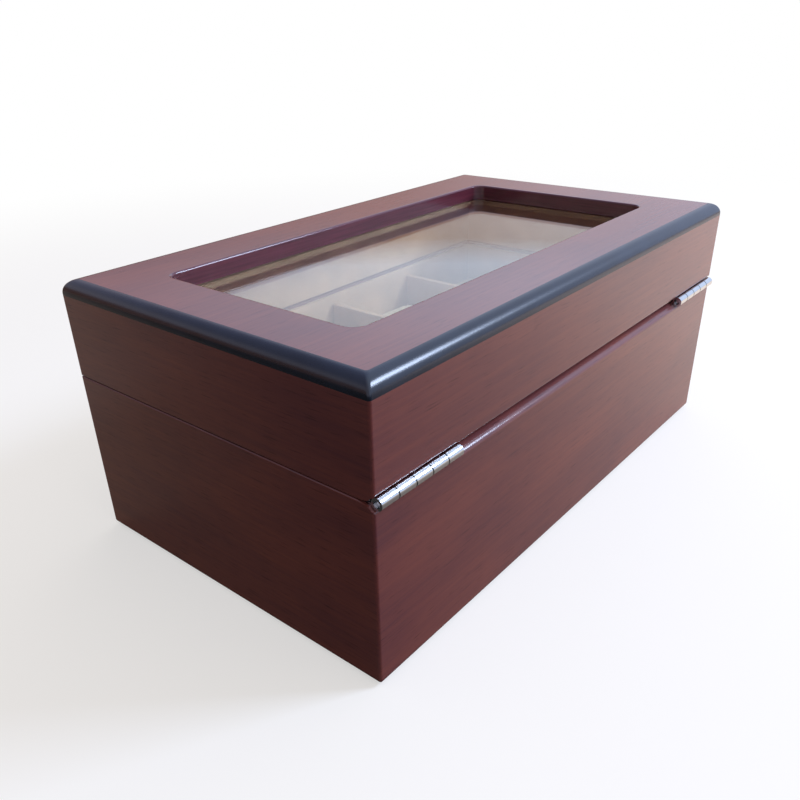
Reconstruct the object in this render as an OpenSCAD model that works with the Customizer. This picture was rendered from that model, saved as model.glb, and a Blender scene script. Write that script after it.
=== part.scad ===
// Pocket watch display box: a lined base with eight padded wells under a glass-topped lid.
// Origin: centre of the underside. +X: towards the right end. +Y: towards the hinges. +Z: up.

/* [Box] */
// Length from end to end
box_l = 240; // [210:1:320]
// Depth from front to rear
box_d = 141; // [120:1:200]
// Height of the base walls
base_h = 64.2; // [50:0.1:90]
// Height of the lid from its rim to the top face
lid_h = 35.5; // [30:0.1:50]
// Gap between the rims when the lid is closed
seam_gap = 0.3; // [0.2:0.05:0.6]
// Thickness of the walls
wall_t = 12; // [11:0.5:16]
// Radius of the upright corners
corner_r = 1; // [0.5:0.1:3]
// Radius of the base's bottom edges
bottom_r = 1.5; // [0.5:0.1:3]
// Radius that eases the rims along the front and the ends
rim_r = 0.5; // [0.3:0.1:1]
// Height of each of the groove's two rounded lips along the rear seam
groove_h = 3.2; // [2:0.1:4]
// How far the groove's lips reach in from the rear face
groove_d = 7; // [3:0.5:9]

/* [Top] */
// Thickness of the top board, which is also the depth of the window recess
board_t = 6.5; // [6:0.1:10]
// Width of the black edge on top
edge_w = 4.8; // [4:0.1:7]
// Height of the black edge on the sides
edge_h = 5.3; // [4.8:0.1:5.8]
// Radius of the black edge
edge_r = 4.8; // [3:0.1:4.8]
// Length of the window
window_l = 190; // [150:1:194]
// Depth of the window from front to rear
window_d = 88; // [70:1:94]
// Radius of the window's corners
window_r = 5; // [3:0.5:10]
// Width of the rounded lip around the window
lip_w = 0.8; // [0.4:0.1:1.5]
// Thickness of the glass
glass_t = 3; // [2:0.5:4]
// Thickness of the frame that holds the glass
retainer_t = 2.5; // [2:0.5:8]

/* [Base fittings] */
// Thickness of the felt under the box
felt_t = 1; // [0.5:0.1:2]
// How far the felt stays back from the box's edge
felt_inset = 2.5; // [2:0.1:6]
// Thickness of the floor panel
floor_t = 4; // [3:0.5:6]
// How far the floor panel is let into the walls
rebate_w = 6; // [4:0.5:8]
// Thickness of the lining on the floor
lining_t = 1.5; // [1:0.1:3]
// Thickness of the liner boards
liner_t = 1.5; // [1:0.1:3]
// How far the liners stay below or above the rims
liner_drop = 1; // [0.5:0.1:3]
// Thickness of the dividers
divider_t = 3; // [2:0.1:5]
// How far the dividers stay below the base's rim
divider_drop = 5.2; // [5:0.1:10]

/* [Watch pads] */
// Height of a pad at its crown
pad_h = 44; // [20:0.5:46]
// How much higher the crown is than the pad's rim
pad_crown = 5; // [2:0.5:8]
// Depth of the dish that takes a watch
pad_dish = 2; // [0:0.5:4]
// Radius of the dish's rim
pad_dish_r = 11; // [6:0.5:14]
// Radius of a pad's upper edge
pad_edge_r = 8; // [4:0.5:9]
// Radius of a pad's lower edge
pad_foot_r = 3; // [1:0.5:6]
// How far a pad's sides pull in between its corners
pad_draw = 1.4; // [0:0.1:3]

/* [Hinges] */
// Length of a hinge
hinge_l = 37; // [30:1:50]
// Distance from the end face to a hinge
hinge_inset = 1.2; // [0.8:0.1:20]
// Knuckles on each hinge, an odd number
knuckles = 5; // [3:2:7]
// Outer radius of the knuckles
knuckle_r = 2; // [1.8:0.1:2.5]
// Thickness of the sheet that the leaves and knuckles are made of
leaf_t = 0.75; // [0.6:0.05:0.8]
// Width of a leaf from the pin's axis
leaf_w = 9; // [8:0.5:9.5]
// Gap between a knuckle and the next
knuckle_gap = 0.45; // [0.15:0.05:0.6]
// Radius of the pin
pin_r = 1.2; // [0.8:0.05:1.2]
// Distance from the pin's ends to the ends of the barrel
pin_recess = 1; // [0.2:0.1:2]
// Distance between the screws in a leaf
screw_pitch = 11.5; // [9:0.5:12]
// Distance from the pin's axis to the screws
screw_back = 5.8; // [5:0.1:6]
// Length of a screw
screw_l = 8; // [6:0.5:10]
// Radius of a screw's shank
shank_r = 1; // [0.7:0.05:1.1]

/* [Fits] */
// Gap around the floor panel, linings and liners
glue_gap = 0.1; // [0.05:0.05:0.3]
// Gap around the glass
glass_gap = 0.5; // [0.2:0.1:0.9]
// Gap between a pad and its well
pad_gap = 0.4; // [0.3:0.1:1]
// Gap around a divider in another divider's slot
slot_gap = 0.1; // [0.05:0.05:0.3]
// Gap around the hinges in their mortises
mortise_gap = 0.3; // [0.2:0.05:0.5]
// Gap between the pin and the lid's knuckles
pin_play = 0.06; // [0.03:0.01:0.1]
// Gap between the pin and the base's knuckles
pin_grip = 0.02; // [0.01:0.01:0.03]
// Gap around the screws
screw_gap = 0.05; // [0.02:0.01:0.1]

/* [Hidden] */

// Wells along the box and across it
columns = 4;
rows = 2;
// Steps in a quarter turn of a rounded edge
arc_steps = 6;
// How far a cutter passes the face that it cuts
through = 1;
// Roundness of bores, pins and screws
round_fn = 48;
// Points around a pad
pad_points = 24;
// Squareness of a pad's outline, 2 for an oval
pad_square = 7;

base_top = felt_t + base_h;
lid_bottom = base_top + seam_gap;
lid_top = lid_bottom + lid_h;
board_bottom = lid_top - board_t;
edge_bottom = lid_top - edge_h;
glass_bottom = board_bottom - glass_t;
retainer_bottom = glass_bottom - retainer_t;
floor_top = felt_t + floor_t;
lining_top = floor_top + lining_t;
base_liner_top = base_top - liner_drop;
lid_liner_bottom = lid_bottom + liner_drop;

// Space inside the walls, and inside the liners
room_l = box_l - 2 * wall_t;
room_d = box_d - 2 * wall_t;
lined_l = room_l - 2 * (glue_gap + liner_t);
lined_d = room_d - 2 * (glue_gap + liner_t);

// Wells between the dividers
well_l = (lined_l - (columns - 1) * divider_t) / columns;
well_d = (lined_d - (rows - 1) * divider_t) / rows;
divider_h = base_top - divider_drop - lining_top;

// The pins' common axis lies in the plane of the rear face, halfway up the seam
axis_y = box_d / 2;
axis_z = base_top + seam_gap / 2;
groove_lip = [groove_d, groove_h];
hinge_x = box_l / 2 - hinge_inset - hinge_l / 2;
// Each leaf's inner face lies a little behind the rim, so that the closed leaves don't touch
leaf_in = seam_gap / 2 + 0.05;
leaf_out = leaf_in + leaf_t;
leaf_edge = knuckle_r + mortise_gap;
knuckle_pitch = (hinge_l + knuckle_gap) / knuckles;
// The countersunk head is as deep as the leaf is thick
head_r = shank_r + leaf_t;
head_drop = 0.02;
// Width and depth of the cross recess in a screw's head
recess_w = 0.45;
recess_h = 0.4;
// How much deeper a pilot hole is than its screw is long
pilot_spare = 1;
// Radius of a leaf's inner corners
leaf_corner_r = 1.2;
// Width of the slit between a knuckle's free edge and its leaf
curl_slit = 0.12;
// Bevel on the ends of the pin
pin_bevel = 0.4;
// Thickness of the thin slabs that a sloped band is drawn between
sliver = 0.01;
// Sloped bands that make up the lip around the window
lip_bands = 3;

wood = "#6B3F3B";
raw_board = "#B08D62";
black = "#1B2026";
suede = "#B89A6C";
cushion = "#D9C7A4";
felt = "#2A2422";
chrome = "#D8DCDD";
steel = "#B4B8BB";

// Outlines

// Points of an arc around c from angle a0 to a1, with its radii along both axes in r
function arc(c, r, a0, a1) = [
    for (i = [0:arc_steps])
        let (a = a0 + (a1 - a0) * i / arc_steps)
            c + [r[0] * cos(a), r[1] * sin(a)]
];

// A corner of a rectangle; r is its radius, or its radii along both axes, and zero leaves it sharp
// q is the quadrant it lies in
function corner(p, r, q) =
    let (radii = is_list(r) ? r : [r, r])
        let (inward = [q == 0 || q == 3 ? -radii[0] : radii[0], q < 2 ? -radii[1] : radii[1]])
            radii[0] <= 0 ? [p] : arc(p + inward, radii, 90 * q, 90 * q + 90);

// A rectangle from lo to hi; radii are for its upper right, upper left, lower left and lower right
function rounded(lo, hi, radii) = concat(
    corner(hi, radii[0], 0),
    corner([lo[0], hi[1]], radii[1], 1),
    corner(lo, radii[2], 2),
    corner([hi[0], lo[1]], radii[3], 3)
);

function centred(l, d, r) = rounded([-l / 2, -d / 2], [l / 2, d / 2], [r, r, r, r]);

// A profile drawn in Y and Z, carried along X over length l about the middle
module along_x(l) {
    rotate([90, 0, 90])
        linear_extrude(l, center = true)
            children();
}

// A profile drawn in X and Z, carried along Y over length l about the middle
module along_y(l) {
    rotate([90, 0, 0])
        linear_extrude(l, center = true)
            children();
}

// The box's outline from z0 to z1, with its upright corners and its long edges rounded
// front, rear and ends each give the radii of the upper and the lower edge there
module outer_block(z0, z1, front, rear, ends) {
    intersection() {
        translate([0, 0, z0 - through])
            linear_extrude(z1 - z0 + 2 * through)
                polygon(centred(box_l, box_d, corner_r));
        along_x(box_l + 2 * through)
            polygon(rounded([-box_d / 2, z0], [box_d / 2, z1], [rear[0], front[0], front[1], rear[1]]));
        along_y(box_d + 2 * through)
            polygon(rounded([-box_l / 2, z0], [box_l / 2, z1], [ends[0], ends[0], ends[1], ends[1]]));
    }
}

module base_block() {
    outer_block(felt_t, base_top, [rim_r, bottom_r], [groove_lip, bottom_r], [rim_r, bottom_r]);
}

module lid_block() {
    outer_block(lid_bottom, edge_bottom, [0, rim_r], [0, groove_lip], [0, rim_r]);
}

module edge_block() {
    outer_block(edge_bottom, lid_top, [edge_r, 0], [edge_r, 0], [edge_r, 0]);
}

// What belongs to one wall: the ground between its outer face and the mitres at its ends
module mitre_wedge(side, depth) {
    out = through;
    long = side == "front" || side == "rear";
    half = (long ? box_l : box_d) / 2;
    face = (long ? box_d : box_l) / 2;
    turn = side == "front" ? 0 : side == "right" ? 90 : side == "rear" ? 180 : 270;
    rotate([0, 0, turn])
        linear_extrude(lid_top + through)
            polygon([
                [-half - out, -face - out],
                [half + out, -face - out],
                [half - depth, -face + depth],
                [-half + depth, -face + depth]
            ]);
}

module box_at(lo, hi) {
    translate(lo)
        cube(hi - lo);
}

// A block of length l and depth d about the Z axis, from z0 to z1
module slab(l, d, z0, z1) {
    box_at([-l / 2, -d / 2, z0], [l / 2, d / 2, z1]);
}

// Walls

module room(z0, z1) {
    slab(room_l, room_d, z0, z1);
}

// Both hinges' seats in the base: a pocket for the leaf, a cove for the barrel that runs out
// at the end face, and the pilot holes
module base_hinge_seats() {
    for (side = [-1, 1])
        translate([side * hinge_x, axis_y, axis_z]) {
            reach = hinge_l / 2 + mortise_gap;
            box_at([-reach, -leaf_w - mortise_gap, -leaf_out], [reach, knuckle_r, through]);
            translate([side < 0 ? -hinge_l - through : -reach, 0, 0])
                rotate([0, 90, 0])
                    cylinder(h = reach + hinge_l + through, r = leaf_edge, $fn = round_fn);
            for (i = [-1:1])
                translate([i * screw_pitch, -screw_back, -leaf_in - screw_l - pilot_spare])
                    cylinder(h = screw_l + pilot_spare, r = shank_r + screw_gap, $fn = round_fn);
        }
}

// The lid's seats are the base's, turned over about the pins' axis
module lid_hinge_seats() {
    translate([0, 0, 2 * axis_z])
        mirror([0, 0, 1])
            base_hinge_seats();
}

module base_wall(side) {
    color(wood)
        difference() {
            intersection() {
                base_block();
                mitre_wedge(side, wall_t + through);
            }
            room(felt_t - through, base_top + through);
            slab(room_l + 2 * rebate_w, room_d + 2 * rebate_w, felt_t - through, floor_top);
            if (side != "front")
                base_hinge_seats();
        }
}

// The rim outside the top board carries the black edge; the board sits on the rest of the wall
module lid_wall(side) {
    color(wood)
        difference() {
            intersection() {
                lid_block();
                mitre_wedge(side, wall_t + through);
            }
            room(lid_bottom - through, lid_top);
            slab(box_l - 2 * edge_w, box_d - 2 * edge_w, board_bottom, lid_top);
            if (side != "front")
                lid_hinge_seats();
        }
}

// Top of the lid

module window_shape(grow) {
    polygon(centred(window_l + 2 * grow, window_d + 2 * grow, window_r + grow));
}

// The lip is a quarter round made of sloped bands
module window_lip() {
    for (i = [0:lip_bands - 1]) {
        a0 = 90 * i / lip_bands;
        a1 = 90 * (i + 1) / lip_bands;
        hull() {
            translate([0, 0, lid_top - lip_w * (1 - sin(a0)) - sliver])
                linear_extrude(sliver)
                    window_shape(lip_w * (1 - cos(a0)));
            translate([0, 0, lid_top - lip_w * (1 - sin(a1))])
                linear_extrude(i == lip_bands - 1 ? through : sliver)
                    window_shape(lip_w * (1 - cos(a1)));
        }
    }
}

module lid_top_board() {
    color(wood)
        difference() {
            slab(box_l - 2 * edge_w, box_d - 2 * edge_w, board_bottom, lid_top);
            translate([0, 0, board_bottom - through])
                linear_extrude(board_t + 2 * through)
                    window_shape(0);
            window_lip();
        }
}

module lid_edge(side) {
    color(black)
        difference() {
            intersection() {
                edge_block();
                mitre_wedge(side, edge_w + through);
            }
            slab(box_l - 2 * edge_w, box_d - 2 * edge_w, edge_bottom - through, lid_top + through);
        }
}

module glass_pane() {
    color("lightcyan", 0.35)
        slab(room_l - 2 * glass_gap, room_d - 2 * glass_gap, glass_bottom, board_bottom);
}

module glass_retainer() {
    color(suede)
        difference() {
            slab(room_l - 2 * glue_gap, room_d - 2 * glue_gap, retainer_bottom, glass_bottom);
            translate([0, 0, retainer_bottom - through])
                linear_extrude(retainer_t + 2 * through)
                    window_shape(0);
        }
}

// Linings

module floor_panel() {
    color(raw_board)
        slab(
            room_l + 2 * (rebate_w - glue_gap),
            room_d + 2 * (rebate_w - glue_gap),
            felt_t,
            floor_top
        );
}

module underside_felt() {
    color(felt)
        slab(box_l - 2 * felt_inset, box_d - 2 * felt_inset, 0, felt_t);
}

module floor_lining() {
    color(cushion)
        slab(room_l - 2 * glue_gap, room_d - 2 * glue_gap, floor_top, lining_top);
}

// The front and rear liners run the whole length, and the end liners stand between them
module liner(side, z0, z1) {
    run_l = room_l / 2 - glue_gap;
    run_d = room_d / 2 - glue_gap;
    between = lined_d / 2 - glue_gap;
    color(suede)
        if (side == "front")
            box_at([-run_l, -run_d, z0], [run_l, liner_t - run_d, z1]);
        else if (side == "rear")
            box_at([-run_l, run_d - liner_t, z0], [run_l, run_d, z1]);
        else if (side == "left")
            box_at([-run_l, -between, z0], [liner_t - run_l, between, z1]);
        else
            box_at([run_l - liner_t, -between, z0], [run_l, between, z1]);
}

module base_liner(side) {
    liner(side, lining_top, base_liner_top);
}

module lid_liner(side) {
    liner(side, lid_liner_bottom, retainer_bottom);
}

// Dividers, halved where they cross

function cross_x(i) = (i - columns / 2) * (well_l + divider_t);

module long_divider() {
    color(suede)
        difference() {
            slab(lined_l - 2 * glue_gap, divider_t, lining_top, lining_top + divider_h);
            for (i = [1:columns - 1])
                translate([cross_x(i), 0, 0])
                    slab(
                        divider_t + 2 * slot_gap,
                        divider_t + 2 * through,
                        lining_top + divider_h / 2,
                        lining_top + divider_h + through
                    );
        }
}

module cross_divider(i) {
    color(suede)
        translate([cross_x(i), 0, 0])
            difference() {
                slab(divider_t, lined_d - 2 * glue_gap, lining_top, lining_top + divider_h);
                slab(
                    divider_t + 2 * through,
                    divider_t + 2 * slot_gap,
                    lining_top - through,
                    lining_top + divider_h / 2 + slot_gap
                );
            }
}

// Watch pads

// Half outline sizes of a pad, and the height at which its upper edge meets the crown
pad_a = well_l / 2 - pad_gap;
pad_b = well_d / 2 - pad_gap;
pad_shoulder = pad_h - pad_crown;

function signed_power(v, p) = sign(v) * pow(abs(v), p);

// A squared oval whose sides are drawn in between the corners, scaled to half sizes a and b
function pad_outline(a, b) =
    let (raw = [
        for (i = [0:pad_points - 1])
            let (t = 360 * (i + 0.5) / pad_points)
            let (pull = 1 - 2 * pad_draw / (pad_a + pad_b) * pow(cos(2 * t), 2))
            [signed_power(cos(t), 2 / pad_square), signed_power(sin(t), 2 / pad_square)] * pull
    ])
    let (widest = max([for (p = raw) p[0]]))
    [for (p = raw) [p[0] * a, p[1] * b] / widest];

// Height a share out of the way from the middle: the crown rises from the shoulder to the
// rim of the dish and sinks to the dish's bottom in the middle
function crown_z(out) =
    let (dish_out = pad_dish_r / (pad_a - pad_edge_r))
    let (rise = (1 - out) / (1 - dish_out))
    out >= dish_out ? pad_shoulder + pad_crown * sin(90 * rise)
        : pad_h - pad_dish * (1 + cos(180 * out / dish_out)) / 2;

// Shares of the way out at which rings lie on the crown, the rim of the dish being one of them
crown_shares =
    let (dish_out = pad_dish_r / (pad_a - pad_edge_r))
    [(1 + dish_out) / 2, dish_out, dish_out * 2 / 3, dish_out / 3];

// Each ring is its inset from the full outline, its share of the way out, and its height
pad_rings = concat(
    [for (a = [-90:45:0]) [pad_foot_r * (1 - cos(a)), 1, pad_foot_r * (1 + sin(a))]],
    [for (a = [0:30:90]) [pad_edge_r * (1 - cos(a)), 1, pad_shoulder - pad_edge_r * (1 - sin(a))]],
    [for (share = crown_shares) [pad_edge_r, share, crown_z(share)]]
);

module pad_shape() {
    last = len(pad_rings) - 1;
    n = pad_points;
    points = concat(
        [for (ring = pad_rings) for (p = pad_outline(pad_a - ring[0], pad_b - ring[0]))
            [p[0] * ring[1], p[1] * ring[1], ring[2]]],
        [[0, 0, 0], [0, 0, crown_z(0)]]
    );
    foot = len(points) - 2;
    top = len(points) - 1;
    sides = [
        for (j = [0:last - 1]) for (i = [0:n - 1])
            let (a = j * n + i)
            let (b = j * n + (i + 1) % n)
            each [[a, a + n, b + n], [a, b + n, b]]
    ];
    floor_faces = [for (i = [0:n - 1]) [foot, i, (i + 1) % n]];
    top_faces = [for (i = [0:n - 1]) [top, last * n + (i + 1) % n, last * n + i]];
    polyhedron(points, concat(sides, floor_faces, top_faces));
}

// Row 0 is the front one; column 1 is at the left end
module watch_pad(row, column) {
    color(cushion)
        translate([
            (column - 0.5 - columns / 2) * (well_l + divider_t),
            (row + 0.5 - rows / 2) * (well_d + divider_t),
            lining_top
        ])
            pad_shape();
}

// Hinges, each about its own middle on the pin's axis

// Section of a rolled knuckle: the sheet runs in from the leaf and curls around the pin,
// and its free edge stops just short of the leaf
module knuckle_section(bore_r) {
    middle = (bore_r + knuckle_r) / 2;
    difference() {
        union() {
            circle(r = knuckle_r, $fn = round_fn);
            translate([-leaf_edge - leaf_t, -leaf_out])
                square([leaf_edge + leaf_t - middle, leaf_t]);
        }
        circle(r = bore_r, $fn = round_fn);
        translate([-leaf_edge, -leaf_in])
            square([leaf_edge - bore_r / 2, curl_slit]);
    }
}

// first is 0 for the leaf with the end knuckles and 1 for the other
module leaf(first, bore_r) {
    past = leaf_t / 2;
    color(chrome)
        difference() {
            union() {
                translate([0, 0, -leaf_out])
                    linear_extrude(leaf_t)
                        polygon(rounded(
                            [-hinge_l / 2, -leaf_w],
                            [hinge_l / 2, -leaf_edge],
                            [0, 0, leaf_corner_r, leaf_corner_r]
                        ));
                for (i = [first:2:knuckles - 1])
                    translate([-hinge_l / 2 + i * knuckle_pitch, 0, 0])
                        rotate([90, 0, 90])
                            linear_extrude(knuckle_pitch - knuckle_gap)
                                knuckle_section(bore_r);
            }
            for (i = [-1:1])
                translate([i * screw_pitch, -screw_back, -leaf_out - past])
                    cylinder(
                        h = leaf_t + 2 * past,
                        r1 = shank_r + screw_gap - past,
                        r2 = head_r + screw_gap + past,
                        $fn = round_fn
                    );
        }
}

module hinge_at(side) {
    translate([side * hinge_x, axis_y, axis_z])
        children();
}

module base_leaf(side) {
    hinge_at(side)
        leaf(0, pin_r + pin_grip);
}

module lid_leaf(side) {
    hinge_at(side)
        mirror([0, 0, 1])
            leaf(1, pin_r + pin_play);
}

module hinge_pin(side) {
    half = hinge_l / 2 - pin_recess;
    color(steel)
        hinge_at(side)
            rotate([0, 90, 0])
                rotate_extrude($fn = round_fn)
                    polygon([
                        [0, -half],
                        [pin_r - pin_bevel, -half],
                        [pin_r, -half + pin_bevel],
                        [pin_r, half - pin_bevel],
                        [pin_r - pin_bevel, half],
                        [0, half]
                    ]);
}

// A countersunk screw with a cross recess, its head up and level with z = 0
module screw() {
    difference() {
        rotate_extrude($fn = round_fn)
            polygon([
                [0, 0],
                [head_r, 0],
                [shank_r, -leaf_t],
                [shank_r, shank_r - screw_l],
                [0, -screw_l]
            ]);
        for (turn = [0, 90])
            rotate([0, 0, turn])
                box_at([-shank_r, -recess_w / 2, -recess_h], [shank_r, recess_w / 2, through]);
    }
}

module leaf_screws() {
    color(chrome)
        for (i = [-1:1])
            translate([i * screw_pitch, -screw_back, -leaf_in - head_drop])
                screw();
}

module base_leaf_screws() {
    for (side = [-1, 1])
        hinge_at(side)
            leaf_screws();
}

module lid_leaf_screws() {
    for (side = [-1, 1])
        hinge_at(side)
            mirror([0, 0, 1])
                leaf_screws();
}

base_wall("front");  // base_front_wall
base_wall("rear");  // base_rear_wall
base_wall("left");  // base_left_end
base_wall("right");  // base_right_end
floor_panel();
underside_felt();
floor_lining();
base_liner("front");  // base_liner_front
base_liner("rear");  // base_liner_rear
base_liner("left");  // base_liner_left
base_liner("right");  // base_liner_right
long_divider();
cross_divider(1);  // cross_divider_left
cross_divider(2);  // cross_divider_middle
cross_divider(3);  // cross_divider_right
watch_pad(0, 1);  // watch_pad_front_1
watch_pad(0, 2);  // watch_pad_front_2
watch_pad(0, 3);  // watch_pad_front_3
watch_pad(0, 4);  // watch_pad_front_4
watch_pad(1, 1);  // watch_pad_rear_1
watch_pad(1, 2);  // watch_pad_rear_2
watch_pad(1, 3);  // watch_pad_rear_3
watch_pad(1, 4);  // watch_pad_rear_4
base_leaf(-1);  // hinge_left_base_leaf
base_leaf(1);  // hinge_right_base_leaf
hinge_pin(-1);  // hinge_left_pin
hinge_pin(1);  // hinge_right_pin
base_leaf_screws();
lid_wall("front");  // lid_front_wall
lid_wall("rear");  // lid_rear_wall
lid_wall("left");  // lid_left_end
lid_wall("right");  // lid_right_end
lid_top_board();
lid_edge("front");  // lid_edge_front
lid_edge("rear");  // lid_edge_rear
lid_edge("left");  // lid_edge_left
lid_edge("right");  // lid_edge_right
glass_pane();
glass_retainer();
lid_liner("front");  // lid_liner_front
lid_liner("rear");  // lid_liner_rear
lid_liner("left");  // lid_liner_left
lid_liner("right");  // lid_liner_right
lid_leaf(-1);  // hinge_left_lid_leaf
lid_leaf(1);  // hinge_right_lid_leaf
lid_leaf_screws();
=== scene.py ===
import math

import bmesh
import bpy
import numpy as np
from bpy.props import FloatProperty, FloatVectorProperty, IntProperty, PointerProperty
from mathutils import Matrix, Vector


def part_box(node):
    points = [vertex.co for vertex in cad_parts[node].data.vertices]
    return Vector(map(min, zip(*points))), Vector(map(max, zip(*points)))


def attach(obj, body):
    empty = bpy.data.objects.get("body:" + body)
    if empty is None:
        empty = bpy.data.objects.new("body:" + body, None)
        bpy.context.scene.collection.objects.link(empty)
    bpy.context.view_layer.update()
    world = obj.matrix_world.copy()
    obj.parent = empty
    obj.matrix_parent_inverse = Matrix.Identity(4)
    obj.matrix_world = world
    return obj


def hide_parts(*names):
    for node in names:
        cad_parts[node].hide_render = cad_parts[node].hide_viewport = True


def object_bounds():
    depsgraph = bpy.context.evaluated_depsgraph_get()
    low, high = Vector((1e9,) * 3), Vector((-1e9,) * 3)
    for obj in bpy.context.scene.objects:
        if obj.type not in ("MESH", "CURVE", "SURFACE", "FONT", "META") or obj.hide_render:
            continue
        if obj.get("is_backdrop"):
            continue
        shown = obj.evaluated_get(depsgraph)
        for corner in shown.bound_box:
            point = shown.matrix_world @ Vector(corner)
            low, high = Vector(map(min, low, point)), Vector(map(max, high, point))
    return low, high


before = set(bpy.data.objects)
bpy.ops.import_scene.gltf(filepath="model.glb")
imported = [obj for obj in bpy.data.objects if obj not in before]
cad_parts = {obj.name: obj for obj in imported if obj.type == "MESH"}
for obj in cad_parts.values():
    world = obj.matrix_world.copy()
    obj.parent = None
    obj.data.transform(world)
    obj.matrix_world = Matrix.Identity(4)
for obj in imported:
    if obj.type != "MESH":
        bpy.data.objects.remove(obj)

bl_info = {
    "name": "Pocket Watch Display Box",
    "version": (1, 0, 0),
    "blender": (4, 5, 0),
    "location": "View3D > Sidebar > Display Box",
    "description": "Builds the veneered walls, glazed lid, linings, cushions and hinges of a display box",
    "category": "Object",
}

CAD_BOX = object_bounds()
MM = 0.001

# Places that the frame gives, in metres
REAR_LO, REAR_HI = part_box("base_rear_wall")
LID_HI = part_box("lid_rear_wall")[1]
EDGE_LO, EDGE_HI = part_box("lid_edge_rear")
BOARD_LO, BOARD_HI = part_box("lid_top_board")
PANEL_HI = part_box("floor_panel")[1]
PIN_LO, PIN_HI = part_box("hinge_right_pin")
LEAF_LO, LEAF_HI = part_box("hinge_right_base_leaf")
PAD_LO, PAD_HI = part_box("watch_pad_front_1")
HALF_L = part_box("base_right_end")[1].x
HALF_D = REAR_HI.y
WALL = REAR_HI.y - REAR_LO.y
EDGE_W = EDGE_HI.y - EDGE_LO.y
BASE_BOTTOM = REAR_LO.z
BASE_TOP = REAR_HI.z
AXIS_Y = (PIN_LO.y + PIN_HI.y) / 2
AXIS_Z = (PIN_LO.z + PIN_HI.z) / 2
KNUCKLE_R = LEAF_HI.y - AXIS_Y
# Half the run of each side, from mitre to mitre along its outer face
SIDES = {"front": HALF_L, "rear": HALF_L, "left": HALF_D, "right": HALF_D}

# Steps in a quarter circle of a large edge, the window's lip, the bottom edge and a small easing
LARGE_ARC = 14
LIP_ARC = 7
BOTTOM_ARC = 6
EASE_ARC = 4
# Half of a step that lets a sheer face stand between two samples
HAIR = 0.004 * MM
# Distance from a rounded edge to the line that keeps the flat face beside it flat
GUARD = 0.2 * MM
# Angle past which a crease between two faces stays sharp
CREASE = math.radians(32)


def linear(code):
    """Linear RGBA of an sRGB hex colour: c / 12.92 up to 0.04045, else ((c + 0.055) / 1.055) ^ 2.4."""
    srgb = [int(code[i:i + 2], 16) / 255 for i in (1, 3, 5)]
    return [c / 12.92 if c <= 0.04045 else ((c + 0.055) / 1.055) ** 2.4 for c in srgb] + [1.0]


def length(name, description, millimetres):
    return FloatProperty(
        name=name, description=description, default=millimetres * MM, min=0, unit="LENGTH", precision=5,
    )


def colour(name, description, code):
    return FloatVectorProperty(
        name=name, description=description, default=linear(code), size=4, min=0, max=1, subtype="COLOR",
    )


class BoxSizes(bpy.types.PropertyGroup):
    """Sizes of the box that the frame's boxes don't give"""
    corner_radius: length("Corner radius", "Radius of the upright corners", 1.0)
    bottom_radius: length("Bottom radius", "Radius of the base's bottom edges", 1.5)
    rim_radius: length("Rim radius", "Radius that eases the rims", 0.5)
    groove_height: length("Groove height", "Height of each rounded lip along the rear seam", 3.2)
    groove_depth: length("Groove depth", "How far the lips reach in from the rear face", 7.0)
    mortise_gap: length("Mortise gap", "Gap around the hinges in their seats", 0.3)
    pocket_depth: length("Pocket depth", "Depth of a leaf's pocket below the pins' axis", 0.95)
    glue_gap: length("Glue gap", "Gap around the floor panel", 0.1)
    slot_gap: length("Slot gap", "Gap around a divider in another's slot", 0.1)
    window_length: length("Window length", "Length of the window", 190)
    window_depth: length("Window depth", "Size of the window from front to rear", 88)
    window_radius: length("Window radius", "Radius of the window's corners", 5)
    lip: length("Lip", "Radius of the rounded lip around the window", 0.8)
    cloth_ease: length("Cloth ease", "Radius of the edges that suede or velvet wraps", 0.45)
    plain_ease: length("Plain ease", "Radius of the edges of the glass, the panel and the felt", 0.3)
    pad_puff: length("Pad puff", "Farthest that the pads' cloth may swell", 5)
    corner_steps: IntProperty(
        name="Corner steps", description="Steps in an eighth of a turn", default=6, min=2, max=16,
    )


class BoxFinish(bpy.types.PropertyGroup):
    """Colours of the box's finishes"""
    veneer_light: colour("Veneer, light", "Lightest tone of the stained veneer", "#82473F")
    veneer_dark: colour("Veneer, dark", "Darkest tone of the stained veneer", "#57313A")
    reveal: colour("Reveal", "Stained edge around the window", "#5E2A38")
    # The slight blue in this black is painted reflection of the bluish surround that the lacquer mirrors
    black: colour("Black edge", "Lacquer on the rounded edge", "#141D2B")
    suede: colour("Suede", "Linings and dividers", "#B58E70")
    retainer: colour("Retainer", "Suede on the frame under the glass", "#A88668")
    cushion: colour("Cushions", "Velvet on the watch pads", "#BBA285")
    felt: colour("Felt", "Felt under the base", "#221D1C")
    board: colour("Fibreboard", "Bare floor panel", "#A98A64")
    glass: colour("Glass", "Tint in the depth of the glass", "#F4FAF7")
    glass_shade: colour("Glass shade", "Tint of the lamps' light under the glass", "#EDF5F1")
    chrome: colour("Chrome", "Plate on the leaves and screws", "#CFD3D2")
    steel: colour("Steel", "Hinge pins", "#B9BABB")


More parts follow.
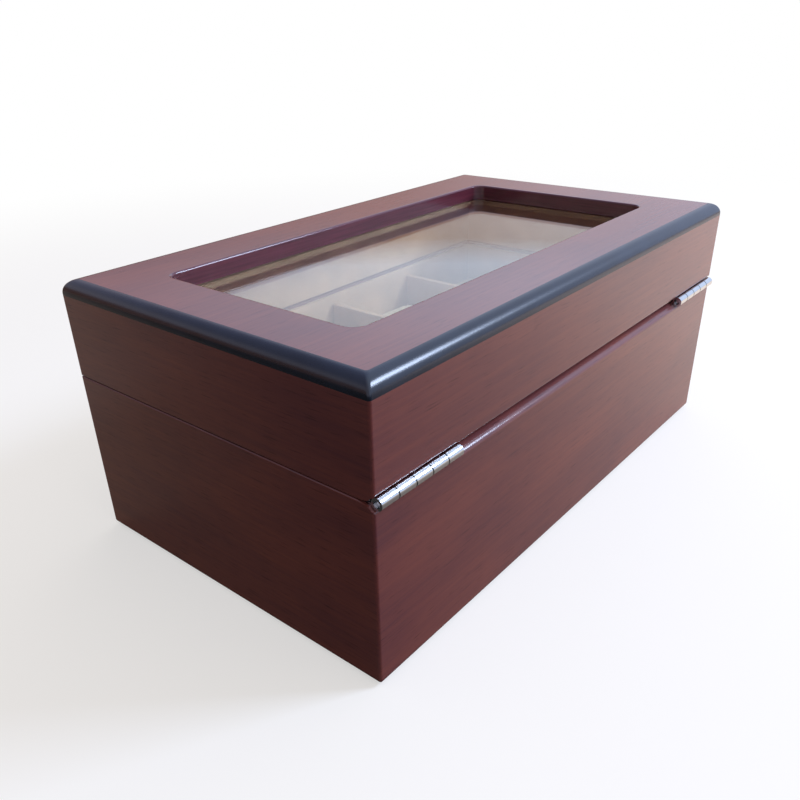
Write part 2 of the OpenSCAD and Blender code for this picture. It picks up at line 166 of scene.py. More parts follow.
class StudioSettings(bpy.types.PropertyGroup):
    """Light and floor of the studio"""
    floor: colour("Floor", "Colour of the floor as it is seen", "#F8F7F6")
    # Painted light and shade on the floor that the box's gloss and bounce see: bright towards the window,
    # dim away from it
    bright: colour("Bright floor", "Floor towards the window, as the box sees it", "#F8E4D0")
    dim: colour("Dim floor", "Floor away from the window, as the box sees it", "#4A4645")
    window: colour("Window side", "Surround on the side of the window", "#A8B3CE")
    middle: colour("Middle", "Surround between the window and the room", "#C2CEE6")
    room: colour("Room side", "Surround away from the window, as the gloss mirrors it", "#9D99AA")
    shade: colour("Shade", "Surround away from the window, as it lights the box", "#727C8A")
    low: colour("Low", "Tint of what lies low across the room, as the gloss mirrors it", "#BC8969")
    high: colour("High", "Tint of what lies high across the room, as the gloss mirrors it", "#B0B8D0")
    fill: colour("Fill", "Share of the surround that lights the box", "#FBE2C4")
    lift: FloatProperty(
        name="Lift", description="Share of white in the floor that the camera sees", default=0.55,
        min=0, max=1,
    )
    gain: FloatProperty(name="Gain", description="Strength of the surround", default=2.2, min=0)
    key: FloatProperty(
        name="Key", description="Power of the key lamp", default=13.0, min=0, unit="POWER",
    )
    key_tone: colour("Key tone", "Colour of the key lamp", "#CFE0FF")


# Shapes

def arc_share(steps):
    """Shares 1 - cos(a) for a from 0 to 90 degrees, which space a quarter circle evenly by angle."""
    return 1 - np.cos(np.linspace(0, math.pi / 2, steps + 1))


def edge_drop(depth, radius, height=None):
    """Drop of a rounded edge below its flat: h (1 - sqrt(1 - ((r - depth) / r)^2)), and none past the
    radius r. The height h equals r where it isn't given."""
    share = np.clip(1 - depth / radius, 0, 1)
    return (radius if height is None else height) * (1 - np.sqrt(1 - share ** 2))


def base_rim(x, y):
    """Height of the base's rim over a point: its flat less the largest drop of the rounded edges, cut
    down to the barrels' coves, which are circles about the pins' axis, and to the leaves' pockets."""
    sizes = bpy.context.scene.box_sizes
    drop = np.maximum(
        edge_drop(HALF_L - np.abs(x), sizes.rim_radius),
        edge_drop(HALF_D + y, sizes.rim_radius),
    )
    lip = edge_drop(HALF_D - y, sizes.groove_depth, sizes.groove_height)
    rim = BASE_TOP - np.maximum(drop, lip)
    seat = KNUCKLE_R + sizes.mortise_gap
    back = AXIS_Y - y
    cove = AXIS_Z - np.sqrt(np.maximum(seat ** 2 - back ** 2, 0))
    past_start = np.abs(x) > LEAF_LO.x - sizes.mortise_gap
    rim = np.where(past_start & (back < seat), np.minimum(rim, cove), rim)
    in_pocket = past_start & (np.abs(x) < LEAF_HI.x + sizes.mortise_gap)
    in_pocket &= y > LEAF_LO.y - sizes.mortise_gap
    return np.where(in_pocket, np.minimum(rim, AXIS_Z - sizes.pocket_depth), rim)


def lid_rim(x, y):
    """The lid's rim is the base's rim turned over about the pins' axis."""
    return 2 * AXIS_Z - base_rim(x, y)


def place_side(side, along, depth):
    """World x and y of a point at a distance along one side and at a depth in from its outer face."""
    return {
        "front": (along, depth - HALF_D),
        "rear": (-along, HALF_D - depth),
        "right": (HALF_L - depth, along),
        "left": (depth - HALF_L, -along),
    }[side]


def mitred_run(side, depths, stations, corner, keep=False):
    """Grid of points between the two mitres of one side. A row at depth u runs straight to
    half - u - R, where R is the corner's radius, and then turns through 45 degrees on the arc
    (R sin(a), R - R cos(a)). R is corner - u, and never below nothing, or corner where keep is set."""
    half = SIDES[side]
    u = np.asarray(depths)[:, None]
    radius = np.full_like(u, corner) if keep else np.maximum(corner - u, 0)
    limit = half - u - radius
    straight = np.clip(np.asarray(stations)[None, :], -limit, limit)
    turn = np.linspace(0, math.pi / 4, bpy.context.scene.box_sizes.corner_steps + 1)[None, :]
    turned = limit + radius * np.sin(turn)
    sunk = u + radius * (1 - np.cos(turn))
    along = np.hstack([-turned[:, ::-1], straight, turned])
    depth = np.hstack([sunk[:, ::-1], u + np.zeros_like(straight), sunk])
    return place_side(side, along, depth)


def grid_faces(rows, columns, wrap_rows=True, wrap_columns=True):
    """Quads between each point of a grid and the next in its row and column, as lists of indices."""
    r = np.arange(rows if wrap_rows else rows - 1)[:, None]
    c = np.arange(columns if wrap_columns else columns - 1)[None, :]
    r2 = (r + 1) % rows
    c2 = (c + 1) % columns
    corners = [r * columns + c, r * columns + c2, r2 * columns + c2, r2 * columns + c]
    return np.stack(np.broadcast_arrays(*corners), -1).reshape(-1, 4).tolist()


def finish_mesh(name, points, faces):
    """A closed mesh with its doubles merged, its faces outwards, and its creases left sharp."""
    mesh = bpy.data.meshes.new(name)
    mesh.from_pydata(points.reshape(-1, 3).tolist(), [], faces)
    bm = bmesh.new()
    bm.from_mesh(mesh)
    bmesh.ops.remove_doubles(bm, verts=bm.verts, dist=HAIR / 8)
    bmesh.ops.dissolve_degenerate(bm, edges=bm.edges, dist=HAIR / 8)
    bmesh.ops.recalc_face_normals(bm, faces=bm.faces)
    bm.to_mesh(mesh)
    bm.free()
    mesh.shade_smooth()
    mesh.set_sharp_from_angle(angle=CREASE)
    return mesh


def bar_mesh(name, x, y, z):
    """A bar whose section is the grid's rows, closed by one flat face at each end of its columns."""
    rows, columns = x.shape
    start = np.arange(rows) * columns
    ends = [start.tolist(), (start[::-1] + columns - 1).tolist()]
    faces = grid_faces(rows, columns, wrap_columns=False) + ends
    return finish_mesh(name, np.stack([x, y, z], -1), faces)


def frame_mesh(name, rings):
    """A closed frame: each ring runs round the opening, and the rings together go round the section."""
    return finish_mesh(name, rings, grid_faces(*rings.shape[:2]))


def capped_mesh(name, rings):
    """A closed solid: each ring runs round it, and the first and the last are closed by flat faces."""
    rows, columns = rings.shape[:2]
    first = list(range(columns))
    last = list(range((rows - 1) * columns, rows * columns))
    faces = grid_faces(rows, columns, wrap_rows=False) + [first, last[::-1]]
    return finish_mesh(name, rings, faces)


def rounded_outline(half_x, half_y, radius):
    """Outline of a rectangle whose corners are arcs: corner's centre + radius (cos(a), sin(a))."""
    steps = bpy.context.scene.box_sizes.corner_steps * 2
    turn = np.linspace(0, math.pi / 2, steps + 1)
    angle = np.arange(4)[:, None] * math.pi / 2 + turn[None, :]
    signs = np.array([[1, 1], [-1, 1], [-1, -1], [1, -1]])[:, None, :]
    centre = signs * np.array([half_x - radius, half_y - radius])
    return (centre + radius * np.stack([np.cos(angle), np.sin(angle)], -1)).reshape(-1, 2)


def inset_outline(outline, distance):
    """Each corner moves in by distance (n + m) / (1 + n.m), where n and m are the inward normals of
    its two edges, so every edge stays parallel to itself. The outline runs anticlockwise."""
    ahead = np.roll(outline, -1, 0) - outline
    ahead = ahead / np.linalg.norm(ahead, axis=1, keepdims=True)
    inward = np.stack([-ahead[:, 1], ahead[:, 0]], -1)
    before = np.roll(inward, 1, 0)
    return outline + distance * (inward + before) / (1 + (inward * before).sum(1, keepdims=True))


def rectangle(low, high):
    """The corners of a rectangle between two of them, anticlockwise from the lowest."""
    return [[low[0], low[1]], [high[0], low[1]], [high[0], high[1]], [low[0], high[1]]]


def board_mesh(node, radius, outline=None):
    """A plate as large as a CAD node's box and thin along that box's shortest side, with quarter-round
    edges: at an inset d from its outline, its faces lie edge_drop(d) inside the box."""
    low, high = (np.array(corner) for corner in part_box(node))
    thin = int(np.argmin(high - low))
    if outline is None:
        outline = np.array(rectangle(np.delete(low, thin), np.delete(high, thin)))
    share = np.append(arc_share(EASE_ARC), 1 + GUARD / radius)
    inset = radius * np.concatenate([share[::-1], share])
    drop = edge_drop(inset, radius)
    level = np.where(np.arange(len(inset)) < len(share), low[thin] + drop, high[thin] - drop)
    rings = np.stack([inset_outline(outline, d) for d in inset])
    return capped_mesh(node, np.insert(rings, thin, level[:, None], axis=-1))


def add_piece(mesh, material, slot, body, node):
    """Puts a mesh into the scene as a piece that rides on a body and stands for a CAD node."""
    piece = bpy.data.objects.new(node + "_piece", mesh)
    bpy.context.collection.objects.link(piece)
    mesh.materials.append(material)
    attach(piece, body)
    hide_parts(node)
    return piece


# Walls and top

def wall_depths():
    """Depths at which a wall's rim is sampled: the arcs of its edges, the barrel's cove by its sine up
    to one radian, the steps of the leaf's pocket, and guard lines past each arc."""
    sizes = bpy.context.scene.box_sizes
    seat = KNUCKLE_R + sizes.mortise_gap
    pocket_side = HALF_L - LEAF_HI.x - sizes.mortise_gap
    pocket_end = HALF_D - LEAF_LO.y + sizes.mortise_gap
    return np.unique(np.concatenate([
        sizes.rim_radius * arc_share(EASE_ARC),
        sizes.groove_depth * arc_share(LARGE_ARC),
        seat * np.sin(np.linspace(0, 1, 7)),
        [math.sqrt(seat ** 2 - sizes.pocket_depth ** 2)],
        [sizes.rim_radius + GUARD, sizes.groove_depth + GUARD, sizes.corner_radius],
        [pocket_side - HAIR, pocket_side + HAIR, pocket_end - HAIR, pocket_end + HAIR, WALL],
    ]))


def wall_stations(side):
    """Distances from a side's middle at which its rows have a point, alike on both halves."""
    sizes = bpy.context.scene.box_sizes
    half = SIDES[side]
    marks = [half - sizes.corner_radius - GUARD, half - WALL, half / 3]
    if side in ("front", "rear"):
        start = LEAF_LO.x - sizes.mortise_gap
        marks += [start - HAIR, start + HAIR]
    else:
        start = LEAF_LO.y - sizes.mortise_gap
        seat = KNUCKLE_R + sizes.mortise_gap
        marks += [start - HAIR, start + HAIR, half - seat, half - sizes.groove_depth - GUARD]
        marks += list(half - sizes.groove_depth * arc_share(LARGE_ARC))
    marks = np.unique(marks)
    return np.concatenate([-marks[::-1], marks])


def wall_mesh(name, side, rim, rows, upward):
    """A wall between its mitres. Its section goes in along the rim, down or up the inner face and
    round the rows given as depth and height, and back along the outer face to just short of the rim."""
    sizes = bpy.context.scene.box_sizes
    depths = wall_depths()
    rows = np.array(rows)
    all_depths = np.concatenate([depths, rows[:, 0], [0.0]])
    x, y = mitred_run(side, all_depths, wall_stations(side), sizes.corner_radius)
    z = np.broadcast_to(np.concatenate([depths, rows[:, 1], [0.0]])[:, None], x.shape).copy()
    count = len(depths)
    z[:count] = rim(x[:count], y[:count])
    z[-1] = z[0] + (-GUARD if upward else GUARD)
    return bar_mesh(name, x, y, z)


def base_wall_rows():
    """The inner face down to the floor panel's rebate, the rebate, and the rounded bottom edge."""
    sizes = bpy.context.scene.box_sizes
    rebate = HALF_D - PANEL_HI.y - sizes.glue_gap
    arc = sizes.bottom_radius * arc_share(BOTTOM_ARC)[::-1]
    bottom = [[depth, BASE_BOTTOM + edge_drop(depth, sizes.bottom_radius)] for depth in arc]
    guard_in = [sizes.bottom_radius + GUARD, BASE_BOTTOM]
    guard_up = [0.0, BASE_BOTTOM + sizes.bottom_radius + GUARD]
    rebate_rows = [[WALL, PANEL_HI.z], [rebate, PANEL_HI.z], [rebate, BASE_BOTTOM]]
    return rebate_rows + [guard_in] + bottom + [guard_up]


def lid_wall_rows():
    """The inner face up to the top board, the step beside the board, and the rim under the black edge."""
    return [[WALL, BOARD_LO.z], [EDGE_W, BOARD_LO.z], [EDGE_W, LID_HI.z], [0.0, LID_HI.z]]


def edge_mesh(name, side):
    """The black edge: a quarter circle from the outer face to the top board, with a flat inner side."""
    sizes = bpy.context.scene.box_sizes
    radius = min(EDGE_W, EDGE_HI.z - EDGE_LO.z - GUARD)
    share = arc_share(LARGE_ARC)
    depths = np.concatenate([[0.0], radius * share, [EDGE_W, EDGE_W]])
    heights = np.concatenate([
        [EDGE_LO.z], EDGE_HI.z - edge_drop(radius * share, radius), [EDGE_HI.z, EDGE_LO.z],
    ])
    half = SIDES[side]
    marks = np.array([half - EDGE_W - sizes.corner_radius - GUARD, half / 2])
    stations = np.concatenate([-marks, marks[::-1]])
    x, y = mitred_run(side, depths, stations, sizes.corner_radius, keep=True)
    z = np.broadcast_to(heights[:, None], x.shape)
    return bar_mesh(name, x, y, z)


def window_frame(node, corner, inner):
    """A board around the window: rings given by how far the window's outline moves out and by their
    level, which go up the inner edge, and a flat outer edge with rounded corners."""
    sizes = bpy.context.scene.box_sizes
    low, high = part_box(node)
    half_x, half_y = sizes.window_length / 2, sizes.window_depth / 2
    outlines = [
        (rounded_outline(half_x + grow, half_y + grow, sizes.window_radius + grow), level)
        for grow, level in inner
    ]
    outer = rounded_outline(high.x, high.y, corner)
    outlines += [(outer, high.z), (outer, low.z)]
    return frame_mesh(node, np.stack([np.insert(ring, 2, level, axis=1) for ring, level in outlines]))


def top_board_mesh():
    """The top board: the reveal goes up, its lip turns outwards on a quarter circle, and the flat top
    runs out to the black edge."""
    sizes = bpy.context.scene.box_sizes
    lip = sizes.lip
    low, top = BOARD_LO.z, BOARD_HI.z
    arc = [(lip * share, top - edge_drop(lip * share, lip)) for share in arc_share(LIP_ARC)]
    inner = [(0, low), (0, top - lip - GUARD)] + arc + [(lip + GUARD, top)]
    return window_frame("lid_top_board", sizes.corner_radius, inner)


def retainer_mesh():
    """The frame under the glass: a flat board whose inner lower edge is rounded by the suede over it."""
    ease = bpy.context.scene.box_sizes.cloth_ease
    low, high = (corner.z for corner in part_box("glass_retainer"))
    arc = [(ease * share, low + edge_drop(ease * share, ease)) for share in arc_share(EASE_ARC)[::-1]]
    return window_frame("glass_retainer", ease, arc + [(0, high)])


# Dividers and pads

def divider_mesh(node, centres, across, from_top):
    """A divider halved where others cross it: a rectangle with a notch at each centre, from its top or
    its bottom edge to its middle height."""
    sizes = bpy.context.scene.box_sizes
    low, high = (np.array(corner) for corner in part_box(node))
    run = 0 if high[0] - low[0] > high[1] - low[1] else 1
    level = (low[2] + high[2]) / 2 + (0 if from_top else sizes.slot_gap)
    half = (across + 2 * sizes.slot_gap) / 2
    edge, step, before = (high[2], -half, 3) if from_top else (low[2], half, 1)
    cuts = [[p, q] for c in sorted(centres, reverse=from_top) for p, q in (
        (c - step, edge), (c - step, level), (c + step, level), (c + step, edge))]
    ends = rectangle(low[[run, 2]], high[[run, 2]])
    return board_mesh(node, sizes.cloth_ease, np.array(ends[:before] + cuts + ends[before:]))


def squared_oval(half_x, half_y, count, square=7, draw=0.055):
    """Outline x = a |cos t|^(2/n), y = b |sin t|^(2/n) with its signs, drawn in between its corners by
    the share draw cos(2t)^2."""
    t = (np.arange(count) + 0.5) / count * 2 * math.pi
    wave = np.stack([np.cos(t), np.sin(t)], -1)
    shape = np.sign(wave) * np.abs(wave) ** (2 / square)
    shape *= 1 - draw * np.cos(2 * t)[:, None] ** 2
    return shape / np.abs(shape).max(0) * [half_x, half_y]


def pad_start(half_x, half_y, height):
    """A cushion before it swells, in metres about its own middle: straight sides, rounded edges, and
    a crown that rises as a sine and sinks as a cosine into a dish for the watch."""
    edge = 7 * MM
    crown = 3 * MM
    dish = 2.5 * MM
    # Shares of the way out from the middle: the dish's rim, and the crown's outermost ring
    dish_share = 0.45
    crown_share = 0.92
    foot_rise = 0.5
    around = 64
    turn = np.linspace(0, math.pi / 2, 6)
    side = [(edge * (1 - math.sin(a)), 1.0, edge * (1 - math.cos(a)) * foot_rise) for a in turn]
    shoulder = height - crown
    top = [(edge * (1 - math.cos(a)), 1.0, shoulder - edge * (1 - math.sin(a))) for a in turn]
    shares = np.linspace(crown_share, 0.0, 10)
    rise = crown * np.sin(math.pi / 2 * np.clip((1 - shares) / (1 - dish_share), 0, 1))
    sink = dish * (1 + np.cos(math.pi * np.clip(shares / dish_share, 0, 1))) / 2
    over = [(edge, s, shoulder + up - down) for s, up, down in zip(shares, rise, sink)]
    floor = [(edge, s, 0.0) for s in (0.0, 0.5)]
    rings = [
        np.column_stack([squared_oval(half_x - d, half_y - d, around) * s, np.full(around, z)])
        for d, s, z in floor + side + top + over
    ]
    return capped_mesh("pad_start", np.stack(rings))


def read_points(mesh):
    points = np.empty(len(mesh.vertices) * 3, np.float32)
    mesh.vertices.foreach_get("co", points)
    return points.reshape(-1, 3).astype(float)


def write_points(mesh, points):
    mesh.vertices.foreach_set("co", points.astype(np.float32).ravel())
    mesh.update()


def apply_modifiers(piece):
    """Gives a piece the mesh that its modifiers leave at the current frame."""
    bpy.context.view_layer.update()
    graph = bpy.context.evaluated_depsgraph_get()
    piece.data = bpy.data.meshes.new_from_object(piece.evaluated_get(graph))
    piece.modifiers.clear()


def swollen_pad():
    """One cushion about its own middle: a closed cover, remeshed and swollen by cloth pressure while its
    foot and the bottom of its dish are held. Its width w goes to h tanh(t w / h) / tanh(t), which keeps
    it within half its well h, and the seam's channel is cut by a bell curve of height."""
    sizes = bpy.context.scene.box_sizes
    half_x = (PAD_HI.x - PAD_LO.x) / 2
    half_y = (PAD_HI.y - PAD_LO.y) / 2
    height = PAD_HI.z - PAD_LO.z
    slack = 2.2 * MM
    voxel = 3.0 * MM
    held_radius = 3.5 * MM
    held_foot = 1.5 * MM
    squeeze = 1.35
    seam_drop = 9 * MM
    channel_depth = 0.7 * MM
    channel_width = 1.1 * MM
    piece = bpy.data.objects.new("pad_cover", pad_start(half_x - slack, half_y - slack, height - slack))
    bpy.context.collection.objects.link(piece)
    remesh = piece.modifiers.new("Remesh", "REMESH")
    remesh.mode = "VOXEL"
    remesh.voxel_size = voxel
    apply_modifiers(piece)
    rest = read_points(piece.data)
    held = piece.vertex_groups.new(name="held")
    middle = np.hypot(rest[:, 0], rest[:, 1]) < held_radius
    still = (rest[:, 2] < held_foot) | middle
    held.add(np.flatnonzero(still).tolist(), 1.0, "REPLACE")
    settings = piece.modifiers.new("Cloth", "CLOTH").settings
    settings.vertex_group_mass = "held"
    settings.use_pressure = True
    settings.uniform_pressure_force = 4
    settings.effector_weights.gravity = 0
    settings.tension_stiffness = 8
    settings.compression_stiffness = 8
    for step in range(1, 21):
        bpy.context.scene.frame_set(step)
    apply_modifiers(piece)
    bpy.context.scene.frame_set(1)
    moved = read_points(piece.data) - rest
    far = np.linalg.norm(moved, axis=1, keepdims=True)
    rest = rest + moved * np.minimum(1, sizes.pad_puff / np.maximum(far, HAIR))
    write_points(piece.data, rest)
    smooth = piece.modifiers.new("Subdivision", "SUBSURF")
    smooth.levels = smooth.render_levels = 1
    apply_modifiers(piece)
    points = read_points(piece.data)
    limit = np.array([half_x, half_y])
    points[:, :2] = limit * np.tanh(squeeze * points[:, :2] / limit) / math.tanh(squeeze)
    points[:, 2] *= height / points[:, 2].max()
    seam_z = height - seam_drop
    out = np.hypot(points[:, 0], points[:, 1])[:, None]
    channel = channel_depth * np.exp(-((points[:, 2:] - seam_z) / channel_width) ** 2)
    channel = channel * (out > half_x / 2)
    points[:, :2] *= 1 - channel / np.maximum(out, HAIR)
    write_points(piece.data, points)
    mesh = piece.data
    bpy.data.objects.remove(piece)
    return mesh


def pad_copy(cover, node, flip):
    """The cover in its well, mirrored by the signs of flip."""
    low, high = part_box(node)
    mesh = cover.copy()
    mesh.name = node
    middle = np.array([(low.x + high.x) / 2, (low.y + high.y) / 2, low.z])
    write_points(mesh, read_points(mesh) * flip + middle)
    if math.prod(flip) < 0:
        mesh.flip_normals()
    mesh.shade_smooth()
    return mesh


# Finishes

def fill(node, inputs):
    """Links or fills a node's inputs, named or numbered."""
    for key, value in inputs.items():
        if isinstance(value, bpy.types.NodeSocket):
            node.id_data.links.new(value, node.inputs[key])
        else:
            node.inputs[key].default_value = value


def add(tree, kind, inputs=None, out=None, **settings):
    """Adds a shader node, sets its properties, fills its inputs, and gives the output that is named,
    or else the first that is in use."""
    node = tree.nodes.new("ShaderNode" + kind)
    for key, value in settings.items():
        setattr(node, key, value)
    fill(node, inputs or {})
    return node.outputs[out] if out else next(socket for socket in node.outputs if socket.enabled)


def new_finish(name, **sockets):
    """A material with one Principled shader, whose uniform values are given by socket name."""
    material = bpy.data.materials.new(name)
    material.use_nodes = True
    shader = material.node_tree.nodes["Principled BSDF"]
    fill(shader, {key.replace("_", " "): value for key, value in sockets.items()})
    return material, material.node_tree, shader


def ramp(tree, factor, stops):
    """A colour ramp from a list of positions and colours."""
    socket = add(tree, "ValToRGB", {"Fac": factor})
    points = socket.node.color_ramp.elements
    while len(points) < len(stops):
        points.new(0.5)
    for point, (place, tone) in zip(points, stops):
        point.position = place
        point.color = tone
    return socket


def scaled(tone, share):
    """A tone made darker or lighter by a share."""
    return [min(1, c * share) for c in tone[:3]] + [1]


def mottled(tree, pattern, low, high):
    """A pattern as colour: the low tone up to 0.3, the high tone from 0.7, and a blend between."""
    return ramp(tree, pattern, [(0.3, low), (0.7, high)])


def stretched(tree, grain, across, along):
    """Object coordinates over a size in metres along the grain's axis and another across it."""
    scale = [1 / across] * 3
    scale["xyz".index(grain)] = 1 / along
    return add(tree, "Mapping", {"Vector": add(tree, "TexCoord", out="Object"), "Scale": scale})


def veneer_finish(name, grain):
    """Red-brown stained veneer under lacquer: a cloudy figure 22 mm across and 60 mm along the grain,
    streaks 1.2 mm wide and 40 mm long, and dark pores drawn 0.5 mm wide, coarser than real ones, so
    that they show. The lacquer mirrors softly, in waves a few millimetres wide."""
    finish = bpy.context.scene.box_finish
    material, tree, shader = new_finish(
        name, Roughness=0.45, Specular_IOR_Level=0.05, Coat_Weight=1.0, Coat_Roughness=0.17,
    )
    cloud = add(tree, "TexNoise", {
        "Vector": stretched(tree, grain, across=22 * MM, along=60 * MM), "Scale": 1.0,
        "Detail": 3.0, "Roughness": 0.55, "Distortion": 0.4,
    })
    streak = add(tree, "TexNoise", {
        "Vector": stretched(tree, grain, across=1.2 * MM, along=40 * MM), "Scale": 1.0, "Roughness": 0.6,
    })
    pores, skin = (add(tree, "TexNoise", {
        "Vector": stretched(tree, grain, across=width, along=9 * MM), "Scale": 1.0, "Detail": 1.0,
    }) for width in (0.5 * MM, 5 * MM))
    both = add(tree, "Mix", {"Factor": 0.4, "A": cloud, "B": streak})
    tone = ramp(tree, both, [(0.22, finish.veneer_dark), (0.78, finish.veneer_light)])
    fleck = add(tree, "MapRange", {"Value": pores, "From Min": 0.62, "From Max": 0.74, "To Max": 0.5})
    dark = add(tree, "Mix", {
        "Factor": fleck, "A": tone, "B": scaled(finish.veneer_dark, 0.35),
    }, data_type="RGBA")
    wave = add(tree, "Bump", {"Height": skin, "Strength": 0.25, "Distance": 0.02 * MM})
    fill(shader, {"Base Color": dark, "Coat Normal": wave})
    return material


def black_finish():
    """Black lacquer over a hardwood lipping: deep black with a slight blue, which is painted reflection
    of the bluish surround, and a broad, soft highlight.
    """
    black = bpy.context.scene.box_finish.black
    material, tree, shader = new_finish(
        "black lacquered lipping", Roughness=0.4, Specular_IOR_Level=0.0,
        Coat_Weight=1.0, Coat_Roughness=0.25,
    )
    cloud = add(tree, "TexNoise", {
        "Vector": stretched(tree, "x", across=8 * MM, along=8 * MM), "Scale": 1.0,
    })
    # The base colour's slight blue is painted reflection; its mottle is random tone
    fill(shader, {"Base Color": mottled(tree, cloud, black, scaled(black, 1.5))})
    return material


def reveal_finish():
    """Stained and lacquered edge of the board around the window: redder than the veneer, with streaks
    0.9 mm high that run along it, and a clear mirror."""
    reveal = bpy.context.scene.box_finish.reveal
    material, tree, shader = new_finish(
        "stained board edge", Roughness=0.4, Specular_IOR_Level=0.05,
        Coat_Weight=1.0, Coat_Roughness=0.08,
    )
    streak = add(tree, "TexNoise", {
        "Vector": stretched(tree, "z", across=25 * MM, along=0.9 * MM), "Scale": 1.0, "Detail": 3.0,
    })
    fill(shader, {"Base Color": mottled(tree, streak, scaled(reveal, 0.6), reveal)})
    return material


def glass_finish():
    """Float glass: clear, faintly green in its depth, and open to the lamps' light so that what lies
    under it is lit."""
    finish = bpy.context.scene.box_finish
    material, tree, shader = new_finish(
        "float glass", Base_Color=finish.glass, Roughness=0.0, IOR=1.52, Transmission_Weight=1.0,
    )
    clear = add(tree, "BsdfTransparent", {"Color": finish.glass_shade})
    both = add(tree, "MixShader", {
        0: add(tree, "LightPath", out="Is Shadow Ray"), 1: shader.outputs["BSDF"], 2: clear,
    })
    fill(tree.nodes["Material Output"], {"Surface": both})
    return material


def nap_finish(name, tone, tuft, sheen, bump):
    """A napped cloth such as suede, velvet or felt: tone varies over patches 12 mm wide, painted sheen
    for nap that lies another way, and over tufts of the given size, coarser than real fibres so that
    they show, which catch the light in a bump and in a mottle that is partly painted sheen."""
    material, tree, shader = new_finish(
        name, Roughness=0.92, Specular_IOR_Level=0.15, Sheen_Weight=sheen,
        Sheen_Tint=[min(1, c * 1.5 + 0.1) for c in tone[:3]] + [1],
    )
    place = add(tree, "TexCoord", out="Object")
    patch = add(tree, "TexNoise", {"Vector": place, "Scale": 1 / (12 * MM), "Detail": 3.0})
    nap = add(tree, "TexNoise", {"Vector": place, "Scale": 1 / tuft, "Roughness": 0.7})
    # Painted sheen: the patches and tufts make the colour lighter and darker as the nap would catch the
    # light
    both = add(tree, "Mix", {"Factor": 0.45, "A": patch, "B": nap})
    fill(shader, {
        "Base Color": mottled(tree, both, scaled(tone, 0.72), scaled(tone, 1.18)),
        "Normal": add(tree, "Bump", {"Height": nap, "Strength": 0.7, "Distance": bump}),
    })
    return material


def board_finish():
    """Bare fibreboard: pressed wood fibres 1 mm long, matt."""
    board = bpy.context.scene.box_finish.board
    material, tree, shader = new_finish("bare fibreboard", Roughness=0.9, Specular_IOR_Level=0.2)
    fibre = add(tree, "TexNoise", {
        "Vector": add(tree, "TexCoord", out="Object"), "Scale": 1 / (1.0 * MM), "Detail": 4.0,
        "Distortion": 1.0,
    })
    fill(shader, {"Base Color": mottled(tree, fibre, scaled(board, 0.8), board)})
    return material


def metal_finish(name, tone, roughness, mark, depth):
    """Bare or plated metal: its roughness wanders from 0.8 to 1.4 times its value over the marks of its
    polishing, and a bump of the given depth bends what it mirrors."""
    material, tree, shader = new_finish(name, Base_Color=tone, Metallic=1.0)
    haze = add(tree, "TexNoise", {
        "Vector": add(tree, "TexCoord", out="Object"), "Scale": 1 / mark, "Detail": 3.0,
    })
    gloss = add(tree, "MapRange", {
        "Value": haze, "From Min": 0.3, "From Max": 0.7,
        "To Min": roughness * 0.8, "To Max": roughness * 1.4,
    })
    wave = add(tree, "Bump", {"Height": haze, "Strength": 0.3, "Distance": depth})
    fill(shader, {"Roughness": gloss, "Normal": wave})
    return material


# Each cloth's name, the size of its tufts, its sheen, and the depth of its bump
CLOTHS = {
    "suede": ("tan suede", 0.5 * MM, 0.35, 0.12 * MM),
    "retainer": ("golden suede", 0.5 * MM, 0.35, 0.12 * MM),
    "cushion": ("cushion velvet", 0.4 * MM, 0.5, 0.1 * MM),
    "felt": ("wool felt", 0.6 * MM, 0.2, 0.2 * MM),
}


def shared_finish(make, name, *settings):
    """The finish of that name, made the first time that a piece needs it."""
    return bpy.data.materials.get(name) or make(name, *settings)


def veneer(grain):
    return shared_finish(veneer_finish, f"stained veneer, grain along {grain}", grain)


def cloth(kind):
    """A napped finish in the colour of its kind's name."""
    name, tuft, sheen, bump = CLOTHS[kind]
    tone = getattr(bpy.context.scene.box_finish, kind)
    return shared_finish(nap_finish, name, tone, tuft, sheen, bump)


def repaint(node, material):
    """Gives a CAD node that stays in view its finish."""
    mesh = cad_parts[node].data
    mesh.materials.clear()
    mesh.materials.append(material)


# Operators

class Undoable:
    """Lets a step be undone in the 3D view"""
    bl_options = {"REGISTER", "UNDO"}


class BOX_OT_walls(Undoable, bpy.types.Operator):
    """Build the four walls of the base and of the lid, mitred at their corners"""
    bl_idname = "display_box.walls"
    bl_label = "Walls"

    def execute(self, context):
        ends = {"front": "front_wall", "rear": "rear_wall", "left": "left_end", "right": "right_end"}
        for side, end in ends.items():
            grain = veneer("x" if side in ("front", "rear") else "y")
            for body, rim, rows in (
                ("base", base_rim, base_wall_rows()), ("lid", lid_rim, lid_wall_rows()),
            ):
                node = f"{body}_{end}"
                mesh = wall_mesh(node, side, rim, rows, upward=body == "base")
                add_piece(mesh, grain, "veneer", body, node)
        return {"FINISHED"}


class BOX_OT_top(Undoable, bpy.types.Operator):
    """Build the veneered top board with its window, and the black edge around it"""
    bl_idname = "display_box.top"
    bl_label = "Top"

    def execute(self, context):
        sizes = context.scene.box_sizes
        mesh = top_board_mesh()
        add_piece(mesh, veneer("x"), "veneer", "lid", "lid_top_board")
        mesh.materials.append(reveal_finish())
        centre = np.empty(len(mesh.polygons) * 3, np.float32)
        mesh.polygons.foreach_get("center", centre)
        reach = np.abs(centre.reshape(-1, 3)[:, :2])
        inside = reach[:, 0] < sizes.window_length / 2 + sizes.lip
        inside &= reach[:, 1] < sizes.window_depth / 2 + sizes.lip
        mesh.polygons.foreach_set("material_index", inside.astype(np.int32))
        lacquer = black_finish()
        for side in SIDES:
            name = "lid_edge_" + side
            add_piece(edge_mesh(name, side), lacquer, "black_edge", "lid", name)
        return {"FINISHED"}


